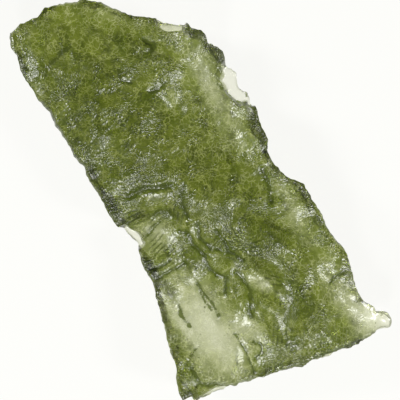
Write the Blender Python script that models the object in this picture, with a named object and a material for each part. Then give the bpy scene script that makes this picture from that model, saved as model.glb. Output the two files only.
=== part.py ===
"""Moldavite: a flat flake of green natural glass, etched all over, with broken edges.

The flake lies on its broad face. +X runs along its length towards the broad broken end, +Y across it
and +Z up. The origin is on the surface that the stone rests on, under the middle of its box.
"""

import bmesh
import bpy
import numpy as np

MM = 0.001

# Driving dimensions in metres
LENGTH = 41.8 * MM
WIDTH = 20.8 * MM
THICKNESS = 3.9 * MM  # of the plain slab, before its swells and hollows
LEAST_THICKNESS = 0.3 * MM
CELLS_ALONG = 67
CELLS_ACROSS = 33

# The underside: an ellipse where it is lowest, the lift from there to the rim, and how much of it all
# is worn flat, which leaves the spot that the stone rests on
SPOT_CENTRE = np.array((-2.0, -0.6)) * MM
SPOT_RADII = np.array((4.6, 2.8)) * MM
UNDERSIDE_RISE = 1.6 * MM
UNDERSIDE_REACH = 4.2  # over how many radii of the ellipse it lifts
WORN_DEPTH = 0.28 * MM
WORN_CUPS = 0.4  # how much of the cups' depth is left inside the ellipse

# The rim: how much of the thickness is rounded away above and below it, and how far in
TOP_ROUNDING = 0.07
BOTTOM_ROUNDING = 0.12
TOP_SHOULDER = 0.45 * MM
BOTTOM_SHOULDER = 0.6 * MM
RIM_BULGE = 0.08 * MM

# Etched cups over both faces, from middle to middle, and how deep they are
CUP_SPACING = 2.3 * MM
TOP_CUP_DEPTH = 0.6 * MM
BOTTOM_CUP_DEPTH = 1.2 * MM
CUP_STRETCH = 1.6
CUP_SHAKE = 0.42  # how far a cup's middle may stand off its lattice point, as a share of the spacing
CUP_RIM = 0.5  # where a cup's bowl levels out into the ridge between cups
CUP_MEAN = 0.15  # a cup's mean height, as a share of its depth
FULL_RELIEF_THICKNESS = 2.4 * MM  # thinner glass has shallower cups
CALM_SHARE = 0.75  # how much of the cups is missing in the middle of a smooth patch

CREASE_DEPTH = 0.3 * MM
CREASE_HALF_WIDTH = 0.55 * MM

GLASS_COLOUR = (0.235, 0.300, 0.085, 1.0)
GLASS_ROUGHNESS = 0.12

# Outline in millimetres, as four edges that each run left to right or bottom to top.
LOWER_EDGE = (
    (-20.4, -7.1), (-19.5, -7.55), (-17.5, -7.7), (-16.9, -7.9), (-15.8, -7.95), (-14.9, -7.85),
    (-13.4, -7.85), (-12.2, -7.6), (-10.8, -7.65), (-9.8, -7.55), (-8.8, -7.6), (-7.2, -7.55),
    (-6.2, -7.3), (-5.4, -7.5), (-3.0, -7.45), (-1.8, -7.5), (-0.3, -7.5), (0.3, -7.3),
    (1.5, -7.1), (2.2, -6.8), (2.8, -6.95), (4.2, -7.3), (6.2, -7.35), (8.2, -7.85),
    (10.2, -8.4), (12.4, -9.0), (14.0, -9.3), (14.9, -9.9), (16.8, -10.3),
)
BROAD_END = (
    (16.8, -10.3), (16.95, -9.4), (17.5, -9.2), (17.8, -8.8), (17.95, -7.5), (18.1, -6.2),
    (18.5, -3.7), (18.9, -1.0), (19.15, 0.0), (20.1, 2.6), (20.4, 3.6), (20.3, 4.8),
    (20.55, 7.6), (20.6, 9.0), (21.0, 10.0),
)
UPPER_EDGE = (
    (-13.2, 7.5), (-12.2, 7.9), (-11.8, 8.3), (-11.1, 8.5), (-10.5, 8.35), (-10.1, 8.7),
    (-8.8, 9.05), (-8.3, 8.9), (-7.0, 9.4), (-6.3, 9.15), (-5.6, 9.0), (-5.0, 9.45),
    (-4.0, 9.2), (-3.0, 9.2), (-2.0, 8.85), (0.0, 8.6), (0.6, 8.25), (1.6, 8.1),
    (2.8, 8.2), (3.8, 8.5), (5.0, 9.4), (7.0, 9.45), (9.0, 9.45), (9.7, 9.35),
    (12.8, 9.65), (14.0, 9.35), (15.2, 9.1), (16.3, 8.9), (17.4, 9.0), (18.3, 9.5),
    (19.0, 9.7), (19.4, 10.3), (20.6, 10.4), (21.0, 10.0),
)
NARROW_END = (
    (-20.4, -7.1), (-20.55, -5.3), (-20.4, -4.0), (-20.75, -3.2), (-20.5, -2.0), (-19.8, 0.2),
    (-19.0, 1.35), (-18.05, 2.15), (-15.95, 3.85), (-15.05, 5.0), (-13.2, 7.5),
)

# Swells and hollows of the thickness in millimetres:
# x, y, radius along, radius across, turn in degrees, height (a hollow's is negative).
SWELLS = (
    (-9.0, -3.5, 10.0, 5.0, 0, 2.2),  # thick back of the narrow half
    (1.5, 1.6, 3.0, 2.6, 30, 1.3),  # crown in the middle
    (7.5, 2.8, 3.5, 2.0, 10, 1.2),  # crown of the broad half
    (16.5, 2.2, 3.5, 2.4, -20, 0.8),  # crown by the broad end
    (12.0, -5.2, 7.5, 3.2, 0, -2.5),  # thin window of the broad half
    (-20.0, -1.5, 3.8, 6.5, 0, -1.1),  # narrow end
    (-8.0, 6.8, 5.0, 2.2, 0, -1.7),  # upper edge of the narrow half
    (7.0, 7.2, 5.0, 1.8, -8, -1.3),  # upper edge of the broad half
    (19.4, 8.6, 3.2, 2.6, 0, -2.2),  # the thin corner
    (20.7, 10.2, 2.0, 1.4, 0, -1.9),  # the clear tip
    (11.0, 1.6, 2.2, 1.5, 20, -2.1),  # light pocket between the crowns
    (-7.0, 2.4, 1.6, 1.4, 0, -1.0),  # thumb mark on the back
    (1.6, -4.8, 2.0, 2.4, 0, -2.2),  # furrow at the waist
    (14.6, -1.2, 1.9, 1.9, 0, -1.2),  # saddle below the end crown
    (15.0, 7.4, 3.0, 2.0, 0, -1.3),  # upper corner of the broad half
    (-16.8, 1.6, 3.2, 1.8, 52, -0.8),  # bevel of the slanted edge
    (-2.0, 5.8, 4.0, 2.4, 0, -0.8),  # upper edge of the middle
    (9.5, -7.3, 3.5, 0.8, 0, -0.5),  # lower edge of the window
    (16.4, -9.3, 1.5, 1.0, 0, -0.3),  # lower corner
)

# Chips, where the edge broke down to a thin lip, in millimetres:
# x, y, radius along, radius across, turn in degrees, thickness left.
CHIPS = (
    (-6.2, 9.6, 2.5, 2.1, 0, 0.3),  # clear lip in the upper notch
    (20.35, 3.0, 3.0, 0.8, 79, 0.9),  # ledge of the broad end
    (18.1, -7.6, 1.9, 0.8, 84, 1.0),  # strip by the lower corner
    (1.3, -7.1, 1.4, 0.75, 20, 0.35),  # lip at the waist
    (-13.9, 6.1, 1.3, 0.7, 57, 1.2),  # facet on the slanted edge
)
CHIP_STEP = 0.3  # how sharp a chip's inner edge is, as a share of its radius

# Creases in the upper face, in millimetres
CREASES = (
    ((3.1, -2.8), (3.5, -2.2), (4.8, -2.3), (6.3, -1.9), (8.3, -1.9), (9.0, -1.2), (10.3, -2.1)),
    ((4.8, 0.1), (6.3, 0.4), (8.4, 0.9)),
    ((9.0, -0.1), (11.2, 0.1), (12.6, -0.9), (13.3, -1.0)),
    ((0.5, -4.3), (0.6, -3.4), (1.4, -2.7)),
    ((1.2, -2.9), (1.5, -4.5), (2.0, -6.2)),
    ((-2.0, -5.2), (-1.9, -3.6), (-0.9, -1.4)),
    ((5.9, -3.8), (5.9, -5.2), (5.8, -6.8)),
    ((18.2, -4.3), (17.9, -6.1), (17.0, -6.9), (16.1, -8.5)),
    ((1.9, 6.8), (3.0, 6.6), (5.0, 5.9)),
    ((19.0, -0.8), (19.2, 1.5), (20.0, 5.5), (20.4, 7.5)),
    ((-8.2, 8.2), (-7.0, 7.2), (-5.0, 7.7), (-3.7, 8.9)),
)

# Places that stayed smooth, in millimetres: x, y, radius along, radius across, turn in degrees.
SMOOTH_PATCHES = (
    (10.0, -5.2, 2.4, 1.1, 0),
    (11.0, 1.5, 1.8, 0.8, 25),
    (0.5, -5.3, 0.8, 0.7, 0),
    (15.0, -5.5, 1.4, 1.3, 0),
    (13.5, -5.0, 4.0, 2.6, 0),
    (-16.6, 1.9, 4.2, 0.9, 52),
    (-18.4, -2.6, 2.4, 4.4, 0),
    (-17.0, -0.5, 2.2, 2.6, 0),
    (-8.6, 5.4, 1.6, 1.2, 0),
)


def along(points, count):
    """Spaces count + 1 points evenly by length along a smooth curve through the given ones."""
    points = np.array(points, float) * MM
    steps = np.linalg.norm(np.diff(points, axis=0), axis=1)
    reached = np.concatenate(([0.0], np.cumsum(steps)))
    slopes = np.gradient(points, reached, axis=0)
    wanted = np.linspace(0.0, reached[-1], count + 1)
    start = np.clip(np.searchsorted(reached, wanted, side="right") - 1, 0, len(steps) - 1)
    span = steps[start]
    t = ((wanted - reached[start]) / span)[:, None]
    span = span[:, None]
    return (
        (1 + 2 * t) * (1 - t) ** 2 * points[start]
        + t * (1 - t) ** 2 * span * slopes[start]
        + t ** 2 * (3 - 2 * t) * points[start + 1]
        + t ** 2 * (t - 1) * span * slopes[start + 1]
    )


def plan():
    """Fills the outline with a grid whose lines blend from each edge to the opposite one."""
    lower = along(LOWER_EDGE, CELLS_ALONG)[:, None]
    upper = along(UPPER_EDGE, CELLS_ALONG)[:, None]
    narrow = along(NARROW_END, CELLS_ACROSS)[None]
    broad = along(BROAD_END, CELLS_ACROSS)[None]
    u = np.linspace(0, 1, CELLS_ALONG + 1)[:, None, None]
    v = np.linspace(0, 1, CELLS_ACROSS + 1)[None, :, None]
    corners = (
        (1 - u) * (1 - v) * lower[0, 0] + u * (1 - v) * lower[-1, 0]
        + (1 - u) * v * upper[0, 0] + u * v * upper[-1, 0]
    )
    grid = (1 - v) * lower + v * upper + (1 - u) * narrow + u * broad - corners
    low, high = grid.min(axis=(0, 1)), grid.max(axis=(0, 1))
    room = np.array((LENGTH, WIDTH)) - 2 * RIM_BULGE
    return (grid - (low + high) / 2) * room / (high - low)


def ring_of(field):
    """The values on a grid's border, once round anticlockwise from the lower left corner."""
    return np.concatenate((field[:-1, 0], field[-1, :-1], field[:0:-1, -1], field[0, :0:-1]))


def distance_to_lines(grid, points, closed=False):
    """Distance from each grid point to the nearest of the lines between the given points."""
    ends = np.roll(points, -1, axis=0) if closed else points[1:]
    starts = points if closed else points[:-1]
    nearest = np.full(grid.shape[:-1], np.inf)
    for start, end in zip(starts, ends):
        run = end - start
        share = np.clip((grid - start) @ run / (run @ run), 0, 1)
        away = np.linalg.norm(grid - start - share[..., None] * run, axis=-1)
        nearest = np.minimum(nearest, away)
    return nearest


def ellipse_radius(grid, x, y, along_radius, across_radius, turn):
    """Distance from an ellipse's middle, 1 on the ellipse."""
    angle = np.radians(turn)
    offset = grid - np.array((x, y))
    ahead = offset @ np.array((np.cos(angle), np.sin(angle)))
    aside = offset @ np.array((-np.sin(angle), np.cos(angle)))
    return np.hypot(ahead / along_radius, aside / across_radius)


def ease(share):
    """Rises from 0 to 1 steeply at first, as a rounded shoulder does, then stays at 1."""
    return 1 - (1 - np.clip(share, 0, 1)) ** 2


def smooth_step(share):
    share = np.clip(share, 0, 1)
    return share * share * (3 - 2 * share)


def cups(grid, spacing, depth, seed):
    """Etched cups: each point takes the bowl of the nearest of many scattered, stretched cups.

    The cups' middles are shaken off a square lattice. A cup's bowl is a paraboloid, so two cups
    meet in a ridge.
    """
    rng = np.random.default_rng(seed)
    side = int(np.ceil(LENGTH / spacing)) + 6
    shake = rng.uniform(-CUP_SHAKE, CUP_SHAKE, (side, side, 2))
    turn = rng.uniform(0, np.pi, (side, side))
    cell = np.round(grid / spacing).astype(int)
    nearest = np.full(grid.shape[:-1], np.inf)
    for right in (-1, 0, 1):
        for up in (-1, 0, 1):
            column = cell[..., 0] + right
            row = cell[..., 1] + up
            i, j = column % side, row % side
            offset = grid / spacing - np.stack((column, row), axis=-1) - shake[i, j]
            ahead = offset[..., 0] * np.cos(turn[i, j]) + offset[..., 1] * np.sin(turn[i, j])
            aside = -offset[..., 0] * np.sin(turn[i, j]) + offset[..., 1] * np.cos(turn[i, j])
            stretched = ahead ** 2 / CUP_STRETCH + aside ** 2 * CUP_STRETCH
            nearest = np.minimum(nearest, stretched)
    return depth * np.minimum(nearest, CUP_RIM)


def share_of_cups(grid):
    """How much of the cups' depth is left at each place: little on the smooth patches."""
    left = np.ones(grid.shape[:-1])
    for x, y, along_radius, across_radius, turn in SMOOTH_PATCHES:
        radius = ellipse_radius(grid / MM, x, y, along_radius, across_radius, turn)
        left = np.minimum(left, 1 - CALM_SHARE * np.exp(-radius ** 4))
    return left


def thickness(grid):
    """The slab's thickness with its swells, hollows and chips."""
    depth = np.full(grid.shape[:-1], THICKNESS)
    for x, y, along_radius, across_radius, turn, height in SWELLS:
        radius = ellipse_radius(grid / MM, x, y, along_radius, across_radius, turn)
        depth += height * MM * np.exp(-radius ** 2)
    for x, y, along_radius, across_radius, turn, left in CHIPS:
        radius = ellipse_radius(grid / MM, x, y, along_radius, across_radius, turn)
        kept = smooth_step((radius - 1) / CHIP_STEP + 0.5)
        depth = left * MM + (depth - left * MM) * kept
    return depth


def faces_of_the_stone(grid):
    """Heights of the upper and the lower face over the plan."""
    rim = distance_to_lines(grid, ring_of(grid), closed=True)
    slab = thickness(grid)
    off_spot = ellipse_radius(grid, *SPOT_CENTRE, *SPOT_RADII, 0) - 1
    base = UNDERSIDE_RISE * smooth_step(off_spot / (UNDERSIDE_REACH - 1))
    high = base + slab * (1 - TOP_ROUNDING * (1 - ease(rim / TOP_SHOULDER)))
    low = base + slab * BOTTOM_ROUNDING * (1 - ease(rim / BOTTOM_SHOULDER))
    body = smooth_step(slab / FULL_RELIEF_THICKNESS)
    top_cups = cups(grid, CUP_SPACING, TOP_CUP_DEPTH, 7) - CUP_MEAN * TOP_CUP_DEPTH
    high += body * share_of_cups(grid) * top_cups
    for points in CREASES:
        away = distance_to_lines(grid, np.array(points) * MM)
        high -= CREASE_DEPTH * np.exp(-(away / CREASE_HALF_WIDTH) ** 2)
    cupped = body * (WORN_CUPS + (1 - WORN_CUPS) * smooth_step(off_spot))
    low += cupped * (CUP_RIM * BOTTOM_CUP_DEPTH - cups(grid, CUP_SPACING, BOTTOM_CUP_DEPTH, 19))
    low = np.maximum(low - WORN_DEPTH, 0)
    return np.maximum(high, low + LEAST_THICKNESS), low


def rim_ring(top_ring, bottom_ring):
    """The middle line of the rim, halfway up it and bulging a little outwards."""
    middle = (top_ring + bottom_ring) / 2
    forward = np.roll(middle, -1, axis=0) - np.roll(middle, 1, axis=0)
    outward = np.stack((forward[:, 1], -forward[:, 0]), axis=1)
    outward /= np.linalg.norm(outward, axis=1, keepdims=True)
    middle[:, :2] += RIM_BULGE * outward
    return middle


def grid_quads(index):
    """Quads of a grid of vertex numbers, anticlockwise seen from above."""
    corners = (index[:-1, :-1], index[1:, :-1], index[1:, 1:], index[:-1, 1:])
    return np.stack(corners, axis=-1).reshape(-1, 4)


def band_quads(above, below):
    """Quads between two closed rings of vertex numbers, facing outwards."""
    corners = (above, below, np.roll(below, -1), np.roll(above, -1))
    return np.stack(corners, axis=-1)


def moldavite_mesh():
    """The closed surface: upper face, lower face and the rim between them."""
    grid = plan()
    high, low = faces_of_the_stone(grid)
    top = np.dstack((grid, high))
    bottom = np.dstack((grid, low))
    middle = rim_ring(ring_of(top), ring_of(bottom))
    count = high.size
    top_index = np.arange(count).reshape(high.shape)
    bottom_index = top_index + count
    middle_index = 2 * count + np.arange(len(middle))
    quads = np.concatenate((
        grid_quads(top_index),
        grid_quads(bottom_index)[:, ::-1],
        band_quads(ring_of(top_index), middle_index),
        band_quads(middle_index, ring_of(bottom_index)),
    ))
    points = np.concatenate((top.reshape(-1, 3), bottom.reshape(-1, 3), middle))
    mesh = bpy.data.meshes.new("moldavite")
    mesh.from_pydata(points.tolist(), [], quads.tolist())
    solid = bmesh.new()
    solid.from_mesh(mesh)
    bmesh.ops.triangulate(solid, faces=solid.faces[:])
    bmesh.ops.recalc_face_normals(solid, faces=solid.faces[:])
    solid.to_mesh(mesh)
    solid.free()
    mesh.shade_smooth()
    return mesh


def green_glass():
    """Green natural glass, satin where it is etched."""
    material = bpy.data.materials.new("green_glass")
    material.use_nodes = True
    shader = material.node_tree.nodes["Principled BSDF"]
    shader.inputs["Base Color"].default_value = GLASS_COLOUR
    shader.inputs["Roughness"].default_value = GLASS_ROUGHNESS
    shader.inputs["Metallic"].default_value = 0.0
    material.diffuse_color = GLASS_COLOUR
    return material


def main():
    for old in list(bpy.data.objects):
        bpy.data.objects.remove(old)
    stone = bpy.data.objects.new("moldavite", moldavite_mesh())
    stone.data.materials.append(green_glass())
    bpy.context.scene.collection.objects.link(stone)


main()
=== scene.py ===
"""A flake of see-through green moldavite on a pale, softly glowing table, seen from straight above."""

import math

import bpy
import numpy as np
from bpy.props import FloatProperty, FloatVectorProperty, IntProperty, PointerProperty
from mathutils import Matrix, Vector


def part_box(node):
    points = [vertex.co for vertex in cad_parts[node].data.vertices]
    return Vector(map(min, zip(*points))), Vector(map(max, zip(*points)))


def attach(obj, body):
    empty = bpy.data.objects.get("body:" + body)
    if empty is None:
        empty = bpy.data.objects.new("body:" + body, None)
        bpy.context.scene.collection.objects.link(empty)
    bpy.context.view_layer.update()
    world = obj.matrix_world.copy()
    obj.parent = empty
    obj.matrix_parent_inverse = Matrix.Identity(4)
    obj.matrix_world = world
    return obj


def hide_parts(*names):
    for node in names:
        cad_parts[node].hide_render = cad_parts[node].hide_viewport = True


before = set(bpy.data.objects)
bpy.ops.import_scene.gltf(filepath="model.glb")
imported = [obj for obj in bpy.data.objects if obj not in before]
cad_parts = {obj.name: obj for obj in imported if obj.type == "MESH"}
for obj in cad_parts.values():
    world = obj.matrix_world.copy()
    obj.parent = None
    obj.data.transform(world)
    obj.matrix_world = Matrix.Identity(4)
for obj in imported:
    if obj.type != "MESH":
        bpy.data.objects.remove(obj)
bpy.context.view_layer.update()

bl_info = {
    "name": "Moldavite flake",
    "version": (1, 0, 0),
    "blender": (4, 5, 0),
    "location": "3D View > Sidebar > Moldavite",
    "description": "A flat flake of etched, see-through green natural glass",
    "category": "Object",
}

MM = 0.001
STONE_LOW, STONE_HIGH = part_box("moldavite")

# Outline in millimetres, as four edges that each run left to right or bottom to top.
LOWER_EDGE = (
    (-20.4, -7.1), (-19.5, -7.55), (-17.5, -7.7), (-16.9, -7.9), (-15.8, -7.95), (-14.9, -7.85),
    (-13.4, -7.85), (-12.2, -7.6), (-10.8, -7.65), (-9.8, -7.55), (-8.8, -7.6), (-7.2, -7.55),
    (-6.2, -7.3), (-5.4, -7.5), (-3.0, -7.45), (-1.8, -7.5), (-0.3, -7.5), (0.3, -7.3),
    (1.5, -7.1), (2.2, -6.8), (2.8, -6.95), (4.2, -7.3), (6.2, -7.35), (8.2, -7.85),
    (10.2, -8.4), (12.4, -9.0), (14.0, -9.3), (14.9, -9.9), (16.8, -10.3),
)
BROAD_END = (
    (16.8, -10.3), (16.95, -9.4), (17.5, -9.2), (17.8, -8.8), (17.95, -7.5), (18.1, -6.2),
    (18.5, -3.7), (18.9, -1.0), (19.15, 0.0), (20.1, 2.6), (20.4, 3.6), (20.3, 4.8),
    (20.55, 7.6), (20.6, 9.0), (21.0, 10.0),
)
UPPER_EDGE = (
    (-13.2, 7.5), (-12.2, 7.9), (-11.8, 8.3), (-11.1, 8.5), (-10.5, 8.35), (-10.1, 8.7),
    (-8.8, 9.05), (-8.3, 8.9), (-7.0, 9.4), (-6.3, 9.15), (-5.6, 9.0), (-5.0, 9.45),
    (-4.0, 9.2), (-3.0, 9.2), (-2.0, 8.85), (0.0, 8.6), (0.6, 8.25), (1.6, 8.1),
    (2.8, 8.2), (3.8, 8.5), (5.0, 9.4), (7.0, 9.45), (9.0, 9.45), (9.7, 9.35),
    (12.8, 9.65), (14.0, 9.35), (15.2, 9.1), (16.3, 8.9), (17.4, 9.0), (18.3, 9.5),
    (19.0, 9.7), (19.4, 10.3), (20.6, 10.4), (21.0, 10.0),
)
NARROW_END = (
    (-20.4, -7.1), (-20.55, -5.3), (-20.4, -4.0), (-20.75, -3.2), (-20.5, -2.0), (-19.8, 0.2),
    (-19.0, 1.35), (-18.05, 2.15), (-15.95, 3.85), (-15.05, 5.0), (-13.2, 7.5),
)

# Swells and hollows of the thickness in millimetres:
# x, y, radius along, radius across, turn in degrees, height (a hollow's is negative).
SWELLS = (
    (-9.0, -3.5, 10.0, 5.0, 0, 2.2),  # thick back of the narrow half
    (1.5, 1.6, 3.0, 2.6, 30, 1.3),  # crown in the middle
    (7.5, 2.8, 3.5, 2.0, 10, 1.2),  # crown of the broad half
    (16.5, 2.2, 3.5, 2.4, -20, 0.8),  # crown by the broad end
    (12.0, -5.2, 7.5, 3.2, 0, -2.5),  # thin window of the broad half
    (-20.0, -1.5, 3.8, 6.5, 0, -1.1),  # narrow end
    (-8.0, 6.8, 5.0, 2.2, 0, -1.7),  # upper edge of the narrow half
    (7.0, 7.2, 5.0, 1.8, -8, -1.3),  # upper edge of the broad half
    (19.4, 8.6, 3.2, 2.6, 0, -2.2),  # the thin corner
    (20.7, 10.2, 2.0, 1.4, 0, -1.9),  # the clear tip
    (11.0, 1.6, 2.2, 1.5, 20, -2.1),  # light pocket between the crowns
    (-7.0, 2.4, 1.6, 1.4, 0, -1.0),  # thumb mark on the back
    (1.6, -4.8, 2.0, 2.4, 0, -2.2),  # furrow at the waist
    (14.6, -1.2, 1.9, 1.9, 0, -1.2),  # saddle below the end crown
    (15.0, 7.4, 3.0, 2.0, 0, -1.3),  # upper corner of the broad half
    (-16.8, 1.6, 3.2, 1.8, 52, -0.8),  # bevel of the slanted edge
    (-2.0, 5.8, 4.0, 2.4, 0, -0.8),  # upper edge of the middle
    (9.5, -7.3, 3.5, 0.8, 0, -0.5),  # lower edge of the window
    (16.4, -9.3, 1.5, 1.0, 0, -0.3),  # lower corner
)

# Chips, where the edge broke down to a thin lip, in millimetres:
# x, y, radius along, radius across, turn in degrees, thickness left.
CHIPS = (
    (-6.2, 9.6, 2.5, 2.1, 0, 0.15),  # clear lip in the upper notch
    (20.35, 3.0, 3.0, 0.8, 79, 0.9),  # ledge of the broad end
    (18.1, -7.6, 1.9, 0.8, 84, 1.0),  # strip by the lower corner
    (1.3, -7.1, 1.4, 0.75, 20, 0.35),  # lip at the waist
    (-13.9, 6.1, 1.3, 0.7, 57, 1.2),  # facet on the slanted edge
)

# Creases in the upper face, also darkened with painted shade: points in millimetres, then depth and half
# width in millimetres.
CREASES = (
    (((3.1, -2.8), (3.5, -2.2), (4.8, -2.3), (6.3, -1.9), (7.2, -2.2), (8.3, -1.9)), 0.5, 0.24),
    (((8.2, -1.7), (9.0, -1.2), (9.6, -1.7), (10.3, -2.1)), 0.4, 0.2),
    (((3.3, -1.0), (4.5, -1.5), (5.5, -1.1), (6.0, -1.1), (6.4, -0.4)), 0.35, 0.2),
    (((4.8, 0.1), (6.3, 0.4), (6.9, 0.1), (7.6, 0.6), (8.4, 0.9)), 0.45, 0.22),
    (((9.0, -0.1), (10.0, 0.1), (11.2, 0.1), (11.8, -0.3), (12.6, -0.9), (13.3, -1.0)), 0.5, 0.25),
    (((0.5, -4.3), (0.6, -3.4), (0.9, -2.9), (1.4, -2.7)), 0.7, 0.32),
    (((1.2, -2.9), (1.5, -4.5), (1.9, -5.5), (2.0, -6.2)), 0.4, 0.2),
    (((-2.0, -5.2), (-1.9, -3.6), (-1.3, -2.5), (-0.9, -1.4)), 0.6, 0.3),
    (((-0.4, -0.3), (0.2, -1.0), (1.0, -1.3), (2.4, -1.5)), 0.4, 0.22),
    (((8.1, -3.8), (9.3, -3.8), (10.5, -3.5), (11.8, -3.6)), 0.35, 0.18),
    (((9.0, -4.0), (11.0, -3.95)), 0.2, 0.16),
    (((9.1, -6.3), (10.0, -6.6), (11.3, -6.4)), 0.3, 0.24),
    (((15.4, -2.0), (15.9, -1.5), (16.5, -1.7), (16.8, -2.6)), 0.35, 0.2),
    (((14.0, -3.1), (15.5, -3.0), (17.8, -3.3)), 0.25, 0.15),
    (((5.0, -4.9), (5.1, -5.8), (4.7, -7.0)), 0.3, 0.2),
    (((5.9, -3.8), (5.9, -5.2), (5.8, -6.8)), 0.4, 0.2),
    (((13.3, -6.6), (13.4, -7.3), (13.9, -8.1)), 0.2, 0.16),
    (((13.8, 8.6), (13.9, 7.6), (14.1, 6.9)), 0.35, 0.22),
    (((18.2, -4.3), (17.9, -6.1), (17.0, -6.9), (16.5, -7.8), (16.1, -8.5)), 0.4, 0.22),
    (((14.5, -8.1), (16.0, -8.1)), 0.25, 0.2),
    (((1.9, 6.8), (3.0, 6.6), (4.2, 6.3), (5.0, 5.9)), 0.5, 0.25),
    (((19.0, -0.8), (19.2, 1.5), (19.5, 3.5), (20.0, 5.5), (20.4, 7.5)), 0.45, 0.22),
    (((-8.2, 8.2), (-7.8, 7.6), (-7.0, 7.2), (-6.0, 7.5), (-5.0, 7.7), (-3.7, 8.9)), 0.35, 0.26),
    (((-6.95, 9.6), (-6.75, 9.2)), 0.4, 0.14),
    (((-5.2, 9.2), (-4.8, 9.1)), 0.3, 0.14),
    (((-12.4, -0.2), (-11.6, -0.5), (-10.8, 0.2)), 0.3, 0.22),
    (((-13.7, 3.2), (-13.0, 3.9), (-12.6, 3.2)), 0.35, 0.35),
    (((-9.5, 2.9), (-9.3, 2.0), (-9.4, 1.2)), 0.3, 0.25),
    (((-16.4, -3.0), (-16.3, -4.0), (-15.8, -5.6)), 0.2, 0.35),
)

# Patches of parallel strokes of painted shade, in millimetres: x, y, radius along, radius across, direction
# in degrees.
STROKES = (
    (-1.6, -4.2, 1.0, 2.4, 85),
    (-3.2, -3.4, 1.2, 1.6, 80),
    (-0.2, -5.6, 1.2, 1.2, 80),
    (1.0, -1.9, 1.6, 1.2, -45),
    (1.3, -4.2, 0.8, 1.6, -75),
    (3.6, -4.8, 1.6, 1.6, -70),
    (4.6, -6.6, 1.3, 0.5, 80),
    (5.2, 1.2, 2.0, 0.8, 15),
    (8.0, 2.6, 1.2, 1.0, 80),
    (11.2, 2.6, 0.9, 0.7, 50),
    (13.6, 1.6, 1.1, 0.8, -35),
    (16.4, 0.6, 1.6, 1.3, -35),
    (18.9, 0.4, 0.6, 1.8, 85),
    (13.0, -8.4, 1.4, 0.5, 20),
    (15.6, -9.4, 1.6, 0.5, 10),
    (7.8, 8.7, 2.6, 0.7, 0),
    (14.2, 8.3, 1.0, 0.9, 60),
    (-9.4, 8.4, 1.2, 0.7, 0),
    (-8.0, -6.7, 2.2, 0.5, 90),
)

# Places that stayed smooth, in millimetres: x, y, radius along, radius across, turn in degrees.
SMOOTH_PATCHES = (
    (10.0, -5.2, 2.4, 1.1, 0),
    (11.0, 1.5, 1.8, 0.8, 25),
    (0.5, -5.3, 0.8, 0.7, 0),
    (15.0, -5.5, 1.4, 1.3, 0),
    (13.5, -5.0, 4.0, 2.6, 0),
    (-16.6, 1.9, 4.2, 0.9, 52),
    (-18.4, -2.6, 2.4, 4.4, 0),
    (-17.0, -0.5, 2.2, 2.6, 0),
    (-8.6, 5.4, 1.6, 1.2, 0),
    (14.2, -1.6, 1.5, 1.2, 0),
    (3.0, -4.2, 1.0, 1.2, 0),
)

# Places that are etched deepest and glitter most, in millimetres: x, y, radius along, radius across,
# turn in degrees.
GLITTERING_PATCHES = (
    (-13.0, 2.2, 0.9, 0.5, 0),
    (-11.2, 3.7, 0.8, 0.5, 40),
    (-12.0, 0.6, 0.9, 0.5, 20),
    (-9.0, -0.6, 1.0, 0.6, 0),
    (-6.9, 0.5, 0.7, 1.5, 0),
    (-4.5, -0.2, 0.8, 1.0, 0),
    (-3.0, 1.0, 1.0, 0.8, 30),
    (-1.2, 3.3, 0.8, 1.2, 0),
    (-15.3, -4.5, 1.0, 0.6, 0),
    (-14.0, -5.0, 0.9, 0.6, 20),
    (-8.0, -6.6, 1.0, 0.6, 0),
    (-2.0, -6.7, 1.6, 0.6, 0),
    (-3.0, -3.5, 1.2, 1.6, 0),
    (4.3, 5.2, 1.0, 0.7, 0),
    (7.9, 4.3, 0.7, 2.0, 0),
    (6.2, 2.0, 0.8, 0.7, 0),
    (4.0, 1.0, 1.5, 0.5, 0),
    (2.8, -0.1, 0.8, 0.5, 0),
    (10.8, 2.5, 1.0, 0.6, 0),
    (17.8, 2.3, 0.8, 1.0, 0),
    (11.6, -7.6, 1.6, 0.8, 0),
    (14.4, -7.4, 1.4, 0.7, 30),
    (17.0, -5.8, 0.9, 1.6, 0),
    (7.2, -6.8, 1.2, 0.5, 0),
)

CHIP_STEP = 0.3  # how sharp a chip's inner edge is, as a share of its radius
CHIP_BORDER = 1.18  # radius of the line of painted shade round a chip, as a share of the chip's
CHIP_BORDER_WIDTH = 0.13  # of that line, in the same way
STROKE_SPACING = 0.4 * MM  # of the parallel strokes

# Noises that vary the shape: wavelength in millimetres, seed, mean, swing. The flow's swing is in
# radians, and where a noise moves a line its swing is in millimetres.
RIPPLES = {
    "long jags": (1.3, 3, 0, 0.6),
    "short jags": (0.5, 5, 0, 0.5),
    "flow": (9, 31, 0, math.pi),
    "flow's bends": (2.5, 37, 0, 0.9),
    "chips' borders": (0.9, 41, 0, 0.08),
    "bottom rounding": (5, 43, 0.6, 0.5),
    "top rounding": (4, 45, 1, 1.2),
    "rim's lean": (7, 47, 0.5, 1.5),
    "wide etching": (3, 53, 0.65, 0.2),
    "narrow etching": (1.2, 59, 0, 0.2),
    "creases' borders": (0.7, 61, 0, 0.05),
    "creases' gaps": (1.1, 67, 1.0, 0.2),
    "swirl": (2.8, 83, 0, 0.55),
    "seams' gaps": (2.2, 91, 0.5, 0.9),
    "strokes' bends": (2.2, 93, 0, 0.1),
    "upper warp along": (1.6, 101, 0, 0.25),
    "upper warp across": (1.6, 102, 0, 0.25),
    "lower warp along": (1.6, 201, 0, 0.25),
    "lower warp across": (1.6, 202, 0, 0.25),
}
WAVES = 9  # sine waves in each noise
WAVE_SPREAD = (0.7, 1.6)  # of their lengths, as a share of the wavelength

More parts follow.
